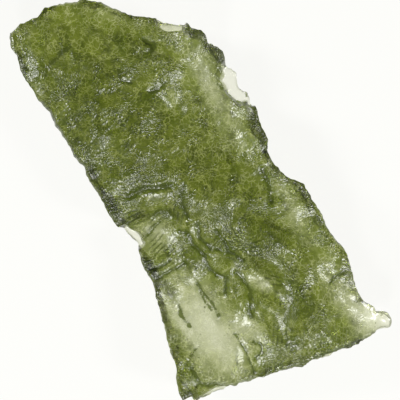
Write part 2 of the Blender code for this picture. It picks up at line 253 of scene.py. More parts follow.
# Layers of etched cups: length over width, seed.
CUPS = {
    "upper cups": (1.6, 7),
    "lower cups": (1.6, 19),
    "rim's pits": (1.4, 71),
    "rim's fine pits": (1.6, 73),
    "upper small cups": (1.5, 103),
    "upper dimples": (2.0, 104),
    "lower small cups": (1.5, 203),
    "lower dimples": (2.0, 204),
}
CUP_SHAKE = 0.42  # of the middles off their lattice, in cells
DIMPLE_SHAKE = 0.45  # the same for the dimples
LATTICE_LENGTH = 42 * MM  # as long as the stone
LATTICE_SPARE = 6  # cells more than the length holds
RIDGE_SHARPNESS = 7.0  # of the ridges between cups

# Squared distances from a cup's middle, in cells, from which its ridge is level.
UPPER_CUP_CAP = 0.55
LOWER_CUP_CAP = 0.5
SMALL_CUP_CAP = 0.6
DIMPLE_CAP = 0.55
UPPER_CUP_LEVEL = 0.15  # squared distance at which a large cup crosses the plain face

# Thicknesses from which the stone has its large cups, counts as deep and has its painted edge shade in
# full.
CUPPED_THICKNESS = 2.4 * MM
DEEP_THICKNESS = 5 * MM
MARKED_THICKNESS = 2.5 * MM

JAG_FADE = 5  # cells over which the outline's jags fade inwards
LEAN_FADE = 8  # cells over which the underside is drawn in with the rim
LEAN_RANGE = (-1.5, 2)  # of the noise that varies the rim's lean
LEANING_HEIGHT = 3 * MM  # of the rim, from which it leans in full
TOP_ROUNDING_RANGE = (0.2, 2.4)  # of the noise that varies the rounding above
SPOT_CUPS = 0.4  # share of the lower cups' depth that is left on the flat spot

ETCHING_RANGE = (0.25, 1.3)  # of the fine relief's strength
SMOOTHED = 0.3  # taken off the etching on a smooth patch
CALMED = 0.75  # taken off the large cups there
GLITTER = 0.45  # added to the etching on a glittering patch
THIN_ETCHING = 0.5  # share of the etching that the thinnest glass has
LOWER_ETCHING = 0.5  # share of it on the lower face
RIM_ETCHING = 0.15  # added along the rim
RIM_ETCHING_WIDTH = 0.6 * MM

DEEP_CREASE = 0.25  # millimetres of depth that give a crease its full painted shade
SEAM_SHADE_WIDTH = 0.12 * MM  # of the painted shade in the seams between cups
SEAM_SHARES = (0.15, 0.5)  # their strength in the narrow half and what the broad half adds
SEAM_START = -1 * MM  # where the broad half's share sets in
SEAM_RISE = 3 * MM  # over which it grows
STEEP_SHADE_SPAN = (0.12, 0.6)  # slope from which shade is painted on a flank, and how much more gives the darkest painted shade
THIN_STEEP_SHADE = 0.15  # share of that painted shade in the thinnest glass
EDGE_SHADE_WIDTH = 0.14 * MM  # of the line of painted shade along the rim
THIN_EDGE_SHADE = 0.3  # share of it on the thinnest glass
CHIP_EDGE_SHADE = 0.9  # of it along the chips
SWIRL_SLANT = (0.4, -0.3)  # growth of the swirl's length along and across
SWIRL_BEND = 0.3  # growth of it away from a large cup's middle

RIM_PIT_SPACING = 1.5 * MM
RIM_FINE_PIT_SPACING = 0.55 * MM
RIM_PIT_SHARES = (0.7, 0.3)  # of the depth, by the large and the fine pits
RIM_FULL_HEIGHT = 1.5 * MM  # from which the rim bulges and is pitted in full
RIM_EDGE_SHADE = 0.5  # share of the painted edge shade on the rim
RIM_STRENGTH = 0.5  # of the rim's etching
RIM_DEPTH = 0.3  # how deep the rim counts

# Noises in the glass's surface: waves to the metre, finer octaves, and the values that count as 0 and as 1.
LINE_PATCHES = (450.0, 1.0, 0.42, 0.56)
CLUSTERS = (650.0, 1.0, 0.4, 0.58)
STROKE_ENDS = (1100.0, 1.0, 0.4, 0.5)
NET_GAPS = (1500.0, 1.0, 0.5, 0.58)
EDGE_PATCHES = (900.0, 3.0, 0.3, 0.6)
BENDS = (1800.0, 1.0)
# The same, with waves to the grain.
GROUND = (2.0, 2.0, 0.4, 0.6)
SPECKLE = (1.3, 1.0, 0.35, 0.65)

# Spans of values in the glass's surface: what counts as 0 and as 1, then the two results where they differ.
DARK_RIDGES = (0.2, 0.5)
DARK_SPAN = (0.34, 0.56)
CLUSTER_DARKNESS = (0.0, 1.0, 0.45, 1.0)
CLUSTER_HEIGHT = (0.0, 1.0, 0.6, 1.0)
NET_SPAN = (0.06, 0.15)
PITS_BY_STRENGTH = (0.0, 0.6)
PITS_BY_DEPTH = (0.0, 0.9, 0.22, 1.0)
PITS_BY_NET = (0.0, 1.0, 0.6, 1.0)
BOWLS_BY_DEPTH = (0.03, 0.7)
SEAM_SPAN = (0.45, 0.7)
STROKE_SPAN = (0.0, 0.3)
ROUGHNESS_SPAN = (0.35, 0.7, 0.29, 0.33)
DARK_SHARES = (0.3, 0.4, 0.15, 0.15)  # of ridges, ground, lines and the mesh's own dimples in the painted shade of the finest dimples
BOWL_RISE = 2.5  # growth of a dimple's height with the squared distance from its middle
GROUND_RISE = 0.25  # of the ground noise in the height
NET_WAVER = 0.05  # of the net's ridges by the ground noise
BEND = 0.2 * MM  # of the net's ridges out of line
BREAKS = 0.3  # of the seams and strokes by the speckle
STROKE_SWING = 0.5  # of the strokes' waves

# Lights: name, place in metres, power in watts.
LIGHTS = (
    ("key", (-0.26, -0.25, 0.20), 1.7),
    ("side", (0.275, 0.215, 0.24), 1.8),
    ("low", (0.275, -0.193, 0.24), 1.6),
)
LIGHT_SIDE = 0.09  # of each square light
TABLE_ROUGHNESS = 0.8


def along(points, count):
    """Spaces count + 1 points evenly by length along the cubic curve through the given points."""
    points = np.array(points, float) * MM
    steps = np.linalg.norm(np.diff(points, axis=0), axis=1)
    reached = np.concatenate(([0.0], np.cumsum(steps)))
    slopes = np.gradient(points, reached, axis=0)
    wanted = np.linspace(0.0, reached[-1], count + 1)
    start = np.clip(np.searchsorted(reached, wanted, side="right") - 1, 0, len(steps) - 1)
    span = steps[start]
    t = ((wanted - reached[start]) / span)[:, None]
    span = span[:, None]
    return (
        (1 + 2 * t) * (1 - t) ** 2 * points[start]
        + t * (1 - t) ** 2 * span * slopes[start]
        + t ** 2 * (3 - 2 * t) * points[start + 1]
        + t ** 2 * (t - 1) * span * slopes[start + 1]
    )


def smooth_step(share):
    """Rises from 0 to 1 with level ends: three times the square less twice the cube."""
    share = np.clip(share, 0, 1)
    return share * share * (3 - 2 * share)


def ease(share):
    """Rises from 0 to 1 steeply at first, as a rounded shoulder does, then stays at 1."""
    return 1 - (1 - np.clip(share, 0, 1)) ** 2


def bell(distance, width):
    """1 at no distance, falling smoothly to 0 over about two widths."""
    return np.exp(-(distance / width) ** 2)


def at_least(least, share):
    """Lifts a share from 0 to 1 so that it starts from the least."""
    return least + (1 - least) * share


def capped(squared, cap):
    """Squared distances from the cups' middles as heights, from 0 to 1 at the level ridges."""
    return np.minimum(squared, cap) / cap


def ripple(places, name):
    """A smooth noise: the sum of sine waves of scattered directions and lengths."""
    wavelength, seed, mean, swing = RIPPLES[name]
    rng = np.random.default_rng(seed)
    total = np.zeros(places.shape[:-1])
    for _ in range(WAVES):
        direction = rng.normal(size=places.shape[-1])
        direction /= np.linalg.norm(direction)
        turns = places @ direction / (wavelength * MM * rng.uniform(*WAVE_SPREAD))
        total += np.sin(2 * np.pi * (turns + rng.uniform()))
    return mean + swing * total / math.sqrt(WAVES)


def ring_of(field):
    """The values on a grid's border, once round anticlockwise from the lower left corner."""
    return np.concatenate((field[:-1, 0], field[-1, :-1], field[:0:-1, -1], field[0, :0:-1]))


def outward_of(ring):
    """Level unit vectors that point out of a closed anticlockwise ring."""
    forward = np.roll(ring, -1, axis=0) - np.roll(ring, 1, axis=0)
    outward = np.stack((forward[:, 1], -forward[:, 0]), axis=1)
    return outward / np.linalg.norm(outward, axis=1, keepdims=True)


def distance_to_lines(grid, points, closed=False):
    """Distance from each grid point to the nearest of the lines between the given points."""
    ends = np.roll(points, -1, axis=0) if closed else points[1:]
    starts = points if closed else points[:-1]
    nearest = np.full(grid.shape[:-1], np.inf)
    for start, end in zip(starts, ends):
        run = end - start
        share = np.clip((grid - start) @ run / (run @ run), 0, 1)
        away = np.linalg.norm(grid - start - share[..., None] * run, axis=-1)
        nearest = np.minimum(nearest, away)
    return nearest


def ellipse_radius(grid, x, y, along_radius, across_radius, turn):
    """Distance from an ellipse's middle, 1 on the ellipse."""
    angle = math.radians(turn)
    offset = grid - np.array((x, y))
    ahead = offset @ np.array((math.cos(angle), math.sin(angle)))
    aside = offset @ np.array((-math.sin(angle), math.cos(angle)))
    return np.hypot(ahead / along_radius, aside / across_radius)


def within(grid, patch, power):
    """1 in the middle of an elliptical patch in millimetres, falling to 0 outside it."""
    return np.exp(-ellipse_radius(grid / MM, *patch) ** power)


def cups(grid, spacing, name, shake=CUP_SHAKE, flow=None, reach=1):
    """Etched cups: squared distances to the nearest middle, and how much farther the second one is.

    The middles are shaken off a square lattice. Each cup is stretched along its own direction, a
    random one or the flow's. A squared distance makes a cup's bowl a paraboloid, and two cups meet
    in a ridge, which a soft minimum rounds.
    """
    stretch, seed = CUPS[name]
    rng = np.random.default_rng(seed)
    side = int(np.ceil(LATTICE_LENGTH / spacing)) + LATTICE_SPARE
    shaken = rng.uniform(-shake, shake, (side, side, 2))
    turns = rng.uniform(0, np.pi, (side, side))
    cell = np.round(grid / spacing).astype(int)
    first = np.full(grid.shape[:-1], np.inf)
    second = first.copy()
    together = np.zeros(grid.shape[:-1])
    for right in range(-reach, reach + 1):
        for up in range(-reach, reach + 1):
            column = cell[..., 0] + right
            row = cell[..., 1] + up
            i, j = column % side, row % side
            middle = np.stack((column, row), axis=-1) + shaken[i, j]
            turn = turns[i, j] if flow is None else flow(middle * spacing)
            offset = grid / spacing - middle
            ahead = offset[..., 0] * np.cos(turn) + offset[..., 1] * np.sin(turn)
            aside = -offset[..., 0] * np.sin(turn) + offset[..., 1] * np.cos(turn)
            squared = ahead ** 2 / stretch + aside ** 2 * stretch
            second = np.minimum(second, np.maximum(first, squared))
            first = np.minimum(first, squared)
            together += np.exp(-RIDGE_SHARPNESS * squared)
    return -np.log(together) / RIDGE_SHARPNESS, np.sqrt(second) - np.sqrt(first)


def flow_angle(places):
    """Direction of the fine sculpture: it swings smoothly over the stone."""
    return ripple(places, "flow") + ripple(places, "flow's bends")


def plan(stone):
    """Fills the outline with a grid whose lines blend from each edge to the opposite one.

    The grid is the sum of the blends between opposite edges, less the blend of the four corners.
    Its border is roughened afterwards: it moves in and out by short ripples.
    """
    lower = along(LOWER_EDGE, stone.cells_along)
    upper = along(UPPER_EDGE, stone.cells_along)
    narrow = along(NARROW_END, stone.cells_across)
    broad = along(BROAD_END, stone.cells_across)
    u = np.linspace(0, 1, stone.cells_along + 1)[:, None, None]
    v = np.linspace(0, 1, stone.cells_across + 1)[None, :, None]
    corners = (
        (1 - u) * (1 - v) * lower[0] + u * (1 - v) * lower[-1]
        + (1 - u) * v * upper[0] + u * v * upper[-1]
    )
    grid = (1 - v) * lower[:, None] + v * upper[:, None] + (1 - u) * narrow + u * broad - corners
    low, high = grid.min(axis=(0, 1)), grid.max(axis=(0, 1))
    room = np.array((stone.length, stone.width)) - 2 * stone.rim_bulge
    grid = (grid - (low + high) / 2) * room / (high - low)
    ring = ring_of(grid)
    jags = stone.edge_roughness * (ripple(ring, "long jags") + ripple(ring, "short jags"))
    return widened(grid, jags, JAG_FADE)


def widened(grid, amounts, fade):
    """Moves the border outwards by the amounts, and the points near it by less and less."""
    moved = outward_of(ring_of(grid)) * amounts[:, None]
    shift = np.zeros_like(grid)
    across, up = grid.shape[0] - 1, grid.shape[1] - 1
    shift[:-1, 0] = moved[:across]
    shift[-1, :-1] = moved[across:across + up]
    shift[:0:-1, -1] = moved[across + up:2 * across + up]
    shift[0, :0:-1] = moved[2 * across + up:]
    u = np.arange(grid.shape[0])[:, None, None]
    v = np.arange(grid.shape[1])[None, :, None]
    inner = (
        shift[:, :1] * np.exp(-v / fade) + shift[:, -1:] * np.exp(-(up - v) / fade)
        + shift[:1] * np.exp(-u / fade) + shift[-1:] * np.exp(-(across - u) / fade)
    )
    for side in ((slice(None), 0), (slice(None), -1), (0, slice(None)), (-1, slice(None))):
        inner[side] = shift[side]
    return grid + inner


def thickness(grid, stone):
    """The slab's thickness with its swells, hollows and chips, and the lines round the chips where shade is
    painted.
    """
    depth = np.full(grid.shape[:-1], stone.thickness)
    broken = np.zeros_like(depth)
    for *patch, height in SWELLS:
        depth += height * MM * within(grid, patch, 2)
    waver = ripple(grid, "chips' borders")
    for *patch, left in CHIPS:
        radius = ellipse_radius(grid / MM, *patch) + waver
        kept = smooth_step((radius - 1) / CHIP_STEP + 0.5)
        depth = left * MM + (depth - left * MM) * kept
        # A line of painted shade round each chip.
        broken = np.maximum(broken, bell(radius - CHIP_BORDER, CHIP_BORDER_WIDTH))
    return depth, broken


def fine_relief(grid, stone, face):
    """Small cups and finer, flow-wise dimples, from 0 in their bottoms to 1 on their ridges."""
    warps = [ripple(grid, f"{face} warp {way}") for way in ("along", "across")]
    warped = grid + MM * np.stack(warps, axis=-1)
    small, _ = cups(warped, stone.small_cup_spacing, f"{face} small cups")
    dimples, _ = cups(warped, stone.dimple_spacing, f"{face} dimples", DIMPLE_SHAKE, flow_angle, 2)
    return capped(small, SMALL_CUP_CAP), capped(dimples, DIMPLE_CAP)


def etching_over(grid):
    """How strong the fine relief is at each place: weak on the smooth patches, varied elsewhere."""
    strength = ripple(grid, "wide etching") + ripple(grid, "narrow etching")
    for patch in SMOOTH_PATCHES:
        strength = strength * (1 - SMOOTHED * within(grid, patch, 4))
    for patch in GLITTERING_PATCHES:
        strength = strength + GLITTER * within(grid, patch, 2)
    return np.clip(strength, *ETCHING_RANGE)


def calm_over(grid):
    """How much of the large cups is left at each place: little on the smooth patches."""
    left = np.ones(grid.shape[:-1])
    for patch in SMOOTH_PATCHES:
        left = np.minimum(left, 1 - CALMED * within(grid, patch, 4))
    return left


def plain_faces(grid, stone, slab, rim, off_spot):
    """Heights of both faces before the etching: lifted off the flat spot and rounded at the rim."""
    base = stone.underside_rise * smooth_step(off_spot / (stone.underside_reach - 1))
    worn = stone.top_rounding * np.clip(ripple(grid, "top rounding"), *TOP_ROUNDING_RANGE)
    high = base + slab * (1 - worn * (1 - ease(rim / stone.top_shoulder)))
    rounding = stone.bottom_rounding * ripple(grid, "bottom rounding")
    return high, base + slab * rounding * (1 - ease(rim / stone.bottom_shoulder))


def creased(grid, stone, high, seam_shade):
    """Cuts the creases into the upper face, and adds them to its seams of painted shade."""
    waver = MM * ripple(grid, "creases' borders")
    for points, depth, half_width in CREASES:
        away = distance_to_lines(grid, np.array(points) * MM) + waver
        line = bell(away, half_width * MM)
        high = high - stone.crease_share * depth * MM * line
        seam_shade = np.maximum(seam_shade, np.minimum(depth / DEEP_CREASE, 1) * line)
    return high, np.clip(seam_shade * ripple(grid, "creases' gaps"), 0, 1)


def faces_of_the_stone(grid, stone):
    """Heights of the upper and the lower face over the plan, and the marks that the material reads, among
    them the masks of painted shade.
    """
    rim = distance_to_lines(grid, ring_of(grid), closed=True)
    slab, broken = thickness(grid, stone)
    off_spot = ellipse_radius(grid, *stone.spot_centre, *stone.spot_radii, 0) - 1
    plain_high, plain_low = plain_faces(grid, stone, slab, rim, off_spot)
    body = smooth_step(slab / CUPPED_THICKNESS)
    deep = smooth_step(slab / DEEP_THICKNESS)

    upper_cups, border = cups(grid, stone.cup_spacing, "upper cups")
    relief = np.minimum(upper_cups, UPPER_CUP_CAP) - UPPER_CUP_LEVEL
    high = plain_high + body * calm_over(grid) * stone.top_cup_depth * relief
    high, seam_shade = creased(grid, stone, high, shaded_seams_between_cups(grid, border * stone.cup_spacing))
    lower_cups, _ = cups(grid, stone.cup_spacing, "lower cups")
    kept = at_least(SPOT_CUPS, smooth_step(off_spot))
    relief = np.maximum(LOWER_CUP_CAP - lower_cups, 0)
    low = plain_low + body * kept * stone.bottom_cup_depth * relief
    low = np.maximum(low - stone.worn_depth, 0)

    strength = etching_over(grid) * at_least(THIN_ETCHING, deep) * body
    strength = strength + RIM_ETCHING * body * bell(rim, RIM_ETCHING_WIDTH)
    small, upper_dimples = fine_relief(grid, stone, "upper")
    relief = stone.small_cup_depth * (small - 0.5) + stone.dimple_depth * (upper_dimples - 0.5)
    high = high + strength * relief
    small, lower_dimples = fine_relief(grid, stone, "lower")
    relief = stone.small_cup_depth * (1 - small) + stone.dimple_depth * (1 - lower_dimples)
    low = low + smooth_step(off_spot + 1) * strength * relief
    high = np.maximum(high, low + stone.least_thickness)

    # Painted shade on the steep flanks of both faces.
    steep = [
        at_least(THIN_STEEP_SHADE, deep) * body * steepness(grid, etched)
        for etched in (high - plain_high, low - plain_low)
    ]
    # Painted shade in a line along the rim and round the chips.
    edge = bell(rim, EDGE_SHADE_WIDTH) * at_least(THIN_EDGE_SHADE, smooth_step(slab / MARKED_THICKNESS))
    edge = np.maximum(edge, CHIP_EDGE_SHADE * broken)
    stroked, across = patches_of_strokes(grid)
    none = np.zeros_like(slab)
    marks = {
        "stroked": (stroked, none),
        "across": (across, across),
        "relief": (upper_dimples, lower_dimples),
        "swirl": [swirl_over(grid, nearest, stone) for nearest in (upper_cups, lower_cups)],
        "seam_shade": (seam_shade, none),
        "steep": steep,
        "edge": (edge, edge),
        "strength": (strength, LOWER_ETCHING * strength),
        "depth": (deep, deep),
    }
    return high, low, marks


def swirl_over(grid, nearest, stone):
    """A length whose level lines run on a slant, waver and bend round the large cups."""
    around = SWIRL_BEND * np.sqrt(np.maximum(nearest, 0)) * stone.cup_spacing
    return grid @ np.array(SWIRL_SLANT) + around + MM * ripple(grid, "swirl")


def steepness(grid, height):
    """How steep a face is, from 0 to 1: its rise over a step along and a step across the grid."""
    along_step = np.linalg.norm(np.gradient(grid, axis=0), axis=-1)
    across_step = np.linalg.norm(np.gradient(grid, axis=1), axis=-1)
    along_slope = np.gradient(height, axis=0) / along_step
    across_slope = np.gradient(height, axis=1) / across_step
    least, more = STEEP_SHADE_SPAN
    return smooth_step((np.hypot(along_slope, across_slope) - least) / more)


def shaded_seams_between_cups(grid, border):
    """Painted shade along the cups' borders, broken by noise."""
    narrow_share, broad_share = SEAM_SHARES
    share = narrow_share + broad_share * smooth_step((grid[..., 0] - SEAM_START) / SEAM_RISE)
    return share * smooth_step(ripple(grid, "seams' gaps")) * bell(border, SEAM_SHADE_WIDTH)


def patches_of_strokes(grid):
    """How strongly each place is stroked, and a length that grows across its strokes."""
    strength, across = np.zeros(grid.shape[:-1]), np.zeros(grid.shape[:-1])
    for *patch, direction in STROKES:
        stroked = within(grid, (*patch, 0), 4)
        angle = math.radians(direction)
        aside = grid @ np.array((-math.sin(angle), math.cos(angle)))
        across = np.where(stroked > strength, aside, across)
        strength = np.maximum(strength, stroked)
    return strength, across + MM * ripple(grid, "strokes' bends")


def rim_rows(top_ring, bottom_ring, stone):
    """The rim's rows from the upper to the lower ring: straight lines bulged and pitted outwards.

    The bulge is a half sine down the rim. The pits are cups on the rim unrolled flat, and they
    fade to nothing at both rings. The second result is the pits' relief, 1 on their ridges.
    """
    share = np.linspace(0, 1, stone.rim_cells + 1)[1:-1, None]
    rows = top_ring * (1 - share[..., None]) + bottom_ring * share[..., None]
    middle = (top_ring + bottom_ring) / 2
    steps = np.linalg.norm(np.roll(middle, -1, axis=0) - middle, axis=1)
    around = np.concatenate(([0.0], np.cumsum(steps)[:-1]))
    unrolled = np.stack((np.broadcast_to(around, rows.shape[:2]), rows[..., 2]), axis=-1)
    pits = capped(cups(unrolled, RIM_PIT_SPACING, "rim's pits")[0], SMALL_CUP_CAP)
    fine = capped(cups(unrolled, RIM_FINE_PIT_SPACING, "rim's fine pits")[0], SMALL_CUP_CAP)
    pit_share, fine_share = RIM_PIT_SHARES
    height = top_ring[:, 2] - bottom_ring[:, 2]
    room = smooth_step(height / RIM_FULL_HEIGHT) * np.sin(np.pi * share)
    out = room * (stone.rim_bulge - stone.rim_pit_depth * (1 - pit_share * pits - fine_share * fine))
    rows[..., :2] += out[..., None] * outward_of(middle)
    return rows, (pits + fine) / 2


def grid_quads(index):
    """Quads of a grid of vertex numbers, anticlockwise seen from above."""
    corners = (index[:-1, :-1], index[1:, :-1], index[1:, 1:], index[:-1, 1:])
    return np.stack(corners, axis=-1).reshape(-1, 4)


def band_quads(rows):
    """Quads between closed rings of vertex numbers, one above the other, facing outwards."""
    above, below = rows[:-1], rows[1:]
    corners = (above, below, np.roll(below, -1, axis=1), np.roll(above, -1, axis=1))
    return np.stack(corners, axis=-1).reshape(-1, 4)


def mesh_of(name, points, quads):
    """A mesh of quads, from whole arrays."""
    mesh = bpy.data.meshes.new(name)
    mesh.vertices.add(len(points))
    mesh.vertices.foreach_set("co", points.astype(np.float32).ravel())
    mesh.loops.add(quads.size)
    mesh.loops.foreach_set("vertex_index", quads.astype(np.int32).ravel())
    mesh.polygons.add(len(quads))
    mesh.polygons.foreach_set("loop_start", np.arange(0, quads.size, 4, dtype=np.int32))
    mesh.update(calc_edges=True)
    mesh.validate()
    mesh.shade_smooth()
    return mesh


def store(mesh, name, values):
    """Keeps one number for each vertex under a name that the material reads."""
    attribute = mesh.attributes.new(name, "FLOAT", "POINT")
    attribute.data.foreach_set("value", values.astype(np.float32).ravel())


def moldavite_mesh(stone):
    """The closed surface: upper face, lower face and the rim's rows between them."""
    grid = plan(stone)
    high, low, marks = faces_of_the_stone(grid, stone)
    lean = stone.rim_lean * np.clip(ripple(ring_of(grid), "rim's lean"), *LEAN_RANGE)
    lean = lean * smooth_step(ring_of(high - low) / LEANING_HEIGHT)
    top, bottom = np.dstack((grid, high)), np.dstack((widened(grid, -lean, LEAN_FADE), low))
    rows, rim_relief = rim_rows(ring_of(top), ring_of(bottom), stone)
    count = high.size
    top_index = np.arange(count).reshape(high.shape)
    bottom_index = top_index + count
    row_index = 2 * count + np.arange(rim_relief.size).reshape(rim_relief.shape)
    bands = np.concatenate((ring_of(top_index)[None], row_index, ring_of(bottom_index)[None]))
    quads = np.concatenate((grid_quads(top_index), grid_quads(bottom_index)[:, ::-1], band_quads(bands)))
    points = np.concatenate([part.reshape(-1, 3) for part in (top, bottom, rows)])
    mesh = mesh_of("moldavite_flake", points, quads)
    on_rim = {
        "relief": rim_relief,
        "swirl": rows[..., 2],
        "edge": RIM_EDGE_SHADE * ring_of(marks["edge"][0]),
        "strength": RIM_STRENGTH,
        "depth": RIM_DEPTH,
    }
    for name, (above, below) in marks.items():
        beside = np.broadcast_to(on_rim.get(name, 0.0), rim_relief.shape)
        store(mesh, name, np.concatenate((above.ravel(), below.ravel(), beside.ravel())))
    return mesh


def add_node(tree, kind, **inputs):
    """A new shader node with the given input values; a linked socket may stand for a value.

    An input is given by its name, with _ for a space, or by its number after a leading _.
    """
    node = tree.nodes.new(kind)
    for name, value in inputs.items():
        socket = node.inputs[int(name[1:])] if name[0] == "_" else node.inputs[name.replace("_", " ")]
        if isinstance(value, bpy.types.NodeSocket):
            tree.links.new(value, socket)
        else:
            socket.default_value = value
    return node


def attribute(tree, name):
    """The value that the mesh keeps under this name."""
    node = tree.nodes.new("ShaderNodeAttribute")
    node.attribute_name = name
    return node.outputs["Fac"]


def maths(tree, operation, *values):
    """The result of a sum on numbers or sockets."""
    node = add_node(tree, "ShaderNodeMath", **{f"_{i}": value for i, value in enumerate(values)})
    node.operation = operation
    return node.outputs["Value"]


def times(tree, first, *others):
    """The product of numbers or sockets."""
    for other in others:
        first = maths(tree, "MULTIPLY", first, other)
    return first


def span(tree, value, low, high, out_low=0.0, out_high=1.0):
    """Maps low to high of a value onto another span, and stops at its ends."""
    limits = {"From_Min": low, "From_Max": high, "To_Min": out_low, "To_Max": out_high}
    return add_node(tree, "ShaderNodeMapRange", Value=value, **limits).outputs["Result"]


def plain_noise(tree, place, scale, detail):
    """A noise texture over the places."""
    return add_node(tree, "ShaderNodeTexNoise", Vector=place, Scale=scale, Detail=detail)


def noise(tree, place, scale, detail, low, high):
    """A noise over the places, from 0 at its low values to 1 at its high ones."""
    return span(tree, plain_noise(tree, place, scale, detail).outputs["Fac"], low, high)


def blend_colours(tree, factor, first, second):
    """Mixes two colours by a factor from 0 to 1."""
    node = tree.nodes.new("ShaderNodeMix")
    node.data_type = "RGBA"
    tree.links.new(factor, node.inputs["Factor"])
    for socket, colour in zip((node.inputs[6], node.inputs[7]), (first, second)):
        if isinstance(colour, bpy.types.NodeSocket):
            tree.links.new(colour, socket)
        else:
            socket.default_value = (*colour, 1.0)
    return node.outputs[2]


def own_place(tree):
    """Places on the stone, in metres."""
    return add_node(tree, "ShaderNodeTexCoord").outputs["Object"]


def drawn_out(tree, stone):
    """Places in a space whose first direction is the swirl's length.

    The others are the stone's own, shortened, so that a pattern in this space is narrow across
    the swirl's level lines and drawn out along them.
    """
    apart = add_node(tree, "ShaderNodeSeparateXYZ", Vector=own_place(tree))
    along_x, along_y = [times(tree, apart.outputs[axis], 1 / stone.grain_stretch) for axis in "XY"]
    drawn = add_node(tree, "ShaderNodeCombineXYZ", X=attribute(tree, "swirl"), Y=along_x, Z=along_y)
    return drawn.outputs[0]


def fine_lines(tree, stone, speckle):
    """Thin lines along the swirl's level lines, here and there."""
    turns = times(tree, attribute(tree, "swirl"), 2 * math.pi / stone.line_spacing)
    lines = span(tree, maths(tree, "SINE", maths(tree, "ADD", turns, speckle)), -1.0, 1.0)
    return times(tree, lines, noise(tree, own_place(tree), *LINE_PATCHES))


def finest_dimples(tree, stone, drawn, ground, speckle):
    """The finest etching: heights, 0 in the dimples and 1 on their ridges, and the shade painted in it.

    The dimples are cells of the drawn-out space. The squared distance from a cell's middle makes
    a round bowl. The painted shade gathers in clusters, as the dimples' heights do.
    """
    cells = add_node(tree, "ShaderNodeTexVoronoi", Vector=drawn, Scale=1 / stone.grain_size)
    away = cells.outputs["Distance"]
    clusters = noise(tree, own_place(tree), *CLUSTERS)
    heights = maths(tree, "MINIMUM", times(tree, away, away, BOWL_RISE), 1.0)
    heights = maths(tree, "ADD", heights, times(tree, ground, GROUND_RISE))
    heights = times(tree, heights, span(tree, clusters, *CLUSTER_HEIGHT))
    dark = 0.0
    parts = (
        span(tree, away, *DARK_RIDGES), ground, fine_lines(tree, stone, speckle),
        attribute(tree, "relief"),
    )
    for share, part in zip(DARK_SHARES, parts):
        dark = maths(tree, "ADD", dark, times(tree, part, share))
    dark = times(tree, span(tree, dark, *DARK_SPAN), span(tree, clusters, *CLUSTER_DARKNESS))
    return heights, dark


def inside_the_net(tree, stone, drawn, ground):
    """0 on the ridges of a bent, broken net over the drawn-out space, left clear as painted light lines, 1
    between them, where shade is painted.
    """
    bends = plain_noise(tree, own_place(tree), *BENDS).outputs["Color"]
    bent = add_node(tree, "ShaderNodeVectorMath", _0=bends, _1=(BEND, BEND, BEND))
    bent.operation = "MULTIPLY"
    bent = add_node(tree, "ShaderNodeVectorMath", _0=bent.outputs[0], _1=drawn)
    net = add_node(tree, "ShaderNodeTexVoronoi", Vector=bent.outputs[0], Scale=1 / stone.net_size)
    net.feature = "DISTANCE_TO_EDGE"
    inside = maths(tree, "ADD", net.outputs["Distance"], times(tree, ground, NET_WAVER))
    gaps = noise(tree, own_place(tree), *NET_GAPS)
    return maths(tree, "MAXIMUM", span(tree, inside, *NET_SPAN), gaps)


def strokes(tree, breaks):
    """Parallel strokes of painted shade within their patches, with broken ends."""
    turns = times(tree, attribute(tree, "across"), 2 * math.pi / STROKE_SPACING)
    lines = maths(tree, "ADD", times(tree, maths(tree, "SINE", turns), STROKE_SWING), breaks)
    ends = noise(tree, own_place(tree), *STROKE_ENDS)
    return times(tree, span(tree, lines, *STROKE_SPAN), ends, attribute(tree, "stroked"))


def etched_colour(tree, stone, dark, inside, speckle):
    """The surface's tint: clear ridges that show as painted light lines, and painted shade between them, in
    the dimples, on steep flanks, in the creases and along the edge.
    """
    deep = attribute(tree, "depth")
    # The glass's green, deepened as painted shade between the net's light ridges where the glass is thick.
    bowl_shade = times(tree, inside, span(tree, deep, *BOWLS_BY_DEPTH))
    # Painted shade in the finest dimples.
    pits = times(
        tree, dark, span(tree, attribute(tree, "strength"), *PITS_BY_STRENGTH),
        span(tree, deep, *PITS_BY_DEPTH), span(tree, inside, *PITS_BY_NET),
    )
    breaks = times(tree, maths(tree, "SUBTRACT", speckle, 0.5), BREAKS)
    # Painted shade in the creases, the seams between cups and the strokes.
    seam_shade = span(tree, maths(tree, "ADD", attribute(tree, "seam_shade"), breaks), *SEAM_SPAN)
    seam_shade = maths(tree, "MAXIMUM", seam_shade, strokes(tree, breaks))
    # Painted shade along the rim and the chips, in patches.
    painted_edge_shade = times(tree, attribute(tree, "edge"), noise(tree, own_place(tree), *EDGE_PATCHES))
    colour = stone.ridge_tint
    # Each tint paints shade over the clear ridges.
    for share, tint in (
        (bowl_shade, stone.bowl_shade_tint), (pits, stone.pit_shade_tint), (attribute(tree, "steep"), stone.flank_shade_tint),
        (seam_shade, stone.seam_shade_tint), (painted_edge_shade, stone.edge_shade_tint),
    ):
        colour = blend_colours(tree, share, colour, tint)
    return colour


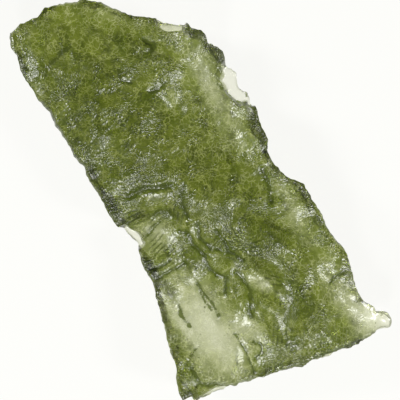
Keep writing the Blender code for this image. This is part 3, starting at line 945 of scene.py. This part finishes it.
def green_glass(stone):
    """Clear green glass: the green is absorption inside it, and shade and light lines are painted into its
    surface.
    """
    material = bpy.data.materials.new("green_glass")
    material.use_nodes = True
    tree = material.node_tree
    shader = tree.nodes["Principled BSDF"]
    shader.inputs["Metallic"].default_value = 0.0
    shader.inputs["Transmission Weight"].default_value = 1.0
    shader.inputs["IOR"].default_value = stone.ior
    place = own_place(tree)
    drawn = drawn_out(tree, stone)
    ground = noise(tree, drawn, GROUND[0] / stone.grain_size, *GROUND[1:])
    speckle = noise(tree, place, SPECKLE[0] / stone.grain_size, *SPECKLE[1:])
    heights, dark = finest_dimples(tree, stone, drawn, ground, speckle)
    inside = inside_the_net(tree, stone, drawn, ground)
    colour = etched_colour(tree, stone, dark, inside, speckle)
    tree.links.new(colour, shader.inputs["Base Color"])
    patches = plain_noise(tree, place, *EDGE_PATCHES[:2]).outputs["Fac"]
    rough = span(tree, patches, *ROUGHNESS_SPAN)
    tree.links.new(rough, shader.inputs["Roughness"])
    height = times(tree, heights, attribute(tree, "strength"))
    bump = add_node(tree, "ShaderNodeBump", Strength=1.0, Distance=stone.grain_depth, Height=height)
    tree.links.new(bump.outputs["Normal"], shader.inputs["Normal"])
    absorption = tree.nodes.new("ShaderNodeVolumeAbsorption")
    absorption.inputs["Color"].default_value = (*stone.glass_colour, 1.0)
    absorption.inputs["Density"].default_value = stone.glass_density
    tree.links.new(absorption.outputs["Volume"], tree.nodes["Material Output"].inputs["Volume"])
    return material


def glowing_table(stage):
    """A pale table that glows softly."""
    material = bpy.data.materials.new("pale_table")
    material.use_nodes = True
    tree = material.node_tree
    shader = tree.nodes["Principled BSDF"]
    shader.inputs["Base Color"].default_value = (*stage.table_colour, 1.0)
    shader.inputs["Roughness"].default_value = TABLE_ROUGHNESS
    shader.inputs["Emission Color"].default_value = (*stage.glow_colour, 1.0)
    shader.inputs["Emission Strength"].default_value = stage.glow
    return material


def number_setting(name, description, default):
    """A plain number that the panel shows."""
    return FloatProperty(name=name, description=description, default=default)


def size_setting(name, description, default):
    """A length that the panel shows."""
    return FloatProperty(name=name, description=description, unit="LENGTH", default=default)


def place_setting(name, description, default):
    """A place that the panel shows: two or three lengths."""
    return FloatVectorProperty(
        name=name, description=description, unit="LENGTH", size=len(default), default=default
    )


def colour_setting(name, description, default):
    """A colour that the panel shows."""
    return FloatVectorProperty(
        name=name, description=description, subtype="COLOR", size=3, default=default
    )


class StoneSettings(bpy.types.PropertyGroup):
    """Sizes and colours of the stone."""

    length: size_setting("Length", "Of the whole flake", STONE_HIGH.x - STONE_LOW.x)
    width: size_setting("Width", "Of the whole flake", STONE_HIGH.y - STONE_LOW.y)
    thickness: size_setting("Thickness", "Of the plain slab", 3.9 * MM)
    least_thickness: size_setting("Least thickness", "Of the thinnest lip", 0.15 * MM)
    cells_along: IntProperty(name="Cells along", description="Of the mesh", default=300)
    cells_across: IntProperty(name="Cells across", description="Of the mesh", default=146)
    rim_cells: IntProperty(name="Rim cells", description="Down the rim", default=10)
    spot_centre: place_setting("Flat spot", "Middle of the lowest part", (-2.0 * MM, -0.6 * MM))
    spot_radii: place_setting("Flat spot radii", "Of the lowest part", (4.6 * MM, 2.8 * MM))
    underside_rise: size_setting("Underside rise", "Lift from the flat spot to the far rim", 1.6 * MM)
    underside_reach: number_setting("Underside reach", "Spot radii over which the underside lifts", 4.2)
    worn_depth: size_setting("Worn depth", "Worn off the underside", 0.28 * MM)
    top_rounding: number_setting(
        "Top rounding", "Share of the thickness rounded away above the rim",
        0.07,
    )
    bottom_rounding: number_setting(
        "Bottom rounding", "Share of the thickness rounded away below the rim",
        0.12,
    )
    top_shoulder: size_setting("Top shoulder", "How far in the rounding reaches", 0.45 * MM)
    bottom_shoulder: size_setting("Bottom shoulder", "How far in the rounding reaches", 0.6 * MM)
    rim_bulge: size_setting("Rim bulge", "Outwards, halfway down", 0.08 * MM)
    rim_pit_depth: size_setting("Rim pit depth", "Of the broken rim's pits", 0.4 * MM)
    rim_lean: size_setting("Rim lean", "How far the lower edge is drawn in", 0.13 * MM)
    edge_roughness: size_setting("Edge roughness", "In and out along the outline", 0.07 * MM)
    cup_spacing: size_setting("Cup spacing", "Middle to middle", 2.3 * MM)
    top_cup_depth: size_setting("Top cup depth", "Of the large cups above", 0.6 * MM)
    bottom_cup_depth: size_setting("Bottom cup depth", "Of the large cups below", 1.2 * MM)
    small_cup_spacing: size_setting("Small cup spacing", "Middle to middle", 1.0 * MM)
    small_cup_depth: size_setting("Small cup depth", "From ridge to bottom", 0.12 * MM)
    dimple_spacing: size_setting("Dimple spacing", "Middle to middle", 0.46 * MM)
    dimple_depth: size_setting("Dimple depth", "From ridge to bottom", 0.04 * MM)
    crease_share: number_setting("Crease share", "How much of its depth each crease has", 0.5)
    grain_size: size_setting("Grain size", "Of the finest dimples", 0.22 * MM)
    net_size: size_setting("Net size", "Of the cells between the finest light ridges", 0.27 * MM)
    line_spacing: size_setting("Line spacing", "Of the finest lines", 0.3 * MM)
    grain_stretch: number_setting("Grain stretch", "Length of a stroke over its width", 1.5)
    grain_depth: size_setting("Grain depth", "Of the finest etching", 0.05 * MM)
    ior: number_setting("Refraction", "Index of the glass", 1.49)
    glass_colour: colour_setting("Glass colour", "What the glass lets through", (0.56, 0.60, 0.0))
    glass_density: number_setting(
        "Glass density", "How fast the glass takes up the rest, per metre",
        335.0,
    )
    # The glass's green, deepened as painted shade between the light ridges.
    bowl_shade_tint: colour_setting("Bowl tint", "Between the ridges", (0.27, 0.33, 0.05))
    # Painted shade in the dimples' bottoms.
    pit_shade_tint: colour_setting("Pit tint", "Of the dimples' bottoms", (0.05, 0.068, 0.01))
    # Painted shade on the steepest flanks.
    flank_shade_tint: colour_setting("Flank tint", "Of the steepest flanks", (0.12, 0.17, 0.02))
    # Painted shade in the creases, the seams and the strokes.
    seam_shade_tint: colour_setting("Seam tint", "Of the creases", (0.05, 0.07, 0.01))
    # Painted shade along the rim and round the chips.
    edge_shade_tint: colour_setting("Edge tint", "Of the broken rim", (0.25, 0.29, 0.10))
    # Nearly clear, so that the net's ridges show as painted light lines.
    ridge_tint: colour_setting("Ridge tint", "Of the ridges", (1.0, 1.0, 0.96))


class StageSettings(bpy.types.PropertyGroup):
    """The table, the lights and the camera."""

    table_size: size_setting("Table size", "Side of the table", 0.6)
    table_gap: size_setting("Table gap", "Between the stone and the table", 0.02 * MM)
    table_colour: colour_setting("Table colour", "Of the pale table", (0.03, 0.03, 0.029))
    glow_colour: colour_setting("Glow colour", "Of the table's light", (1.0, 1.0, 0.97))
    glow: number_setting("Glow", "Strength of the table's light", 0.895)
    world_colour: colour_setting("Room colour", "Of the dim room", (0.17, 0.18, 0.15))
    lens: number_setting("Lens", "Focal length in millimetres", 100.0)
    look_at: place_setting(
        "Look at", "Where the view's middle falls on the stone",
        (1.51 * MM, 0.30 * MM, 2.5 * MM),
    )
    view_width: size_setting("View width", "Across the picture, at the stone", 37.52 * MM)
    view_turn: FloatProperty(
        name="View turn", description="Of the camera about its line of sight", subtype="ANGLE",
        default=math.radians(60),
    )


class MOLDAVITE_OT_stone(bpy.types.Operator):
    """Make the etched flake of green glass"""

    bl_idname = "moldavite.stone"
    bl_label = "Stone"

    def execute(self, context):
        stone = context.scene.moldavite_stone
        flake = bpy.data.objects.new("moldavite_flake", moldavite_mesh(stone))
        flake.data.materials.append(green_glass(stone))
        context.scene.collection.objects.link(flake)
        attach(flake, "root")
        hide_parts("moldavite")
        return {"FINISHED"}


class MOLDAVITE_OT_stage(bpy.types.Operator):
    """Lay the pale table and set up the room, the lights and the camera"""

    bl_idname = "moldavite.stage"
    bl_label = "Stage"

    def execute(self, context):
        stage = context.scene.moldavite_stage
        half = stage.table_size / 2
        corners = np.array(((-1, -1), (1, -1), (1, 1), (-1, 1))) * half
        points = np.column_stack((corners, np.full(4, -stage.table_gap)))
        table = bpy.data.objects.new("table", mesh_of("table", points, np.array(((0, 1, 2, 3),))))
        table.data.materials.append(glowing_table(stage))
        context.scene.collection.objects.link(table)
        world = bpy.data.worlds.new("room")
        world.use_nodes = True
        world.node_tree.nodes["Background"].inputs["Color"].default_value = (*stage.world_colour, 1.0)
        context.scene.world = world
        for name, place, power in LIGHTS:
            add_light(context, name, place, power)
        add_camera(context, stage)
        context.scene.view_settings.view_transform = "Standard"
        return {"FINISHED"}


def add_light(context, name, place, power):
    """A square soft light that faces the stone."""
    lamp = bpy.data.lights.new(name, "AREA")
    lamp.shape = "SQUARE"
    lamp.size = LIGHT_SIDE
    lamp.energy = power
    light = bpy.data.objects.new(name, lamp)
    light.location = place
    light.rotation_euler = light.location.to_track_quat("Z", "Y").to_euler()
    context.scene.collection.objects.link(light)


def add_camera(context, stage):
    """A camera that looks straight down."""
    lens = bpy.data.cameras.new("camera")
    lens.lens = stage.lens
    lens.clip_start = 1 * MM
    camera = bpy.data.objects.new("camera", lens)
    x, y, z = stage.look_at
    camera.location = (x, y, z + stage.view_width * stage.lens / lens.sensor_width)
    camera.rotation_euler = (0, 0, stage.view_turn)
    context.scene.collection.objects.link(camera)
    context.scene.camera = camera


class MOLDAVITE_PT_panel(bpy.types.Panel):
    """Lists the steps and their sizes and colours"""

    bl_idname = "MOLDAVITE_PT_panel"
    bl_label = "Moldavite"
    bl_space_type = "VIEW_3D"
    bl_region_type = "UI"
    bl_category = "Moldavite"

    def draw(self, context):
        for operator, settings in (
            (MOLDAVITE_OT_stone, context.scene.moldavite_stone),
            (MOLDAVITE_OT_stage, context.scene.moldavite_stage),
        ):
            box = self.layout.box()
            box.operator(operator.bl_idname)
            for name in settings.__annotations__:
                box.prop(settings, name)


CLASSES = (
    StoneSettings, StageSettings, MOLDAVITE_OT_stone, MOLDAVITE_OT_stage, MOLDAVITE_PT_panel,
)


def register():
    for each in CLASSES:
        bpy.utils.register_class(each)
    bpy.types.Scene.moldavite_stone = PointerProperty(type=StoneSettings)
    bpy.types.Scene.moldavite_stage = PointerProperty(type=StageSettings)


def unregister():
    del bpy.types.Scene.moldavite_stage
    del bpy.types.Scene.moldavite_stone
    for each in reversed(CLASSES):
        bpy.utils.unregister_class(each)


def main():
    register()
    bpy.ops.moldavite.stone()
    bpy.ops.moldavite.stage()


if __name__ == "__main__":
    main()
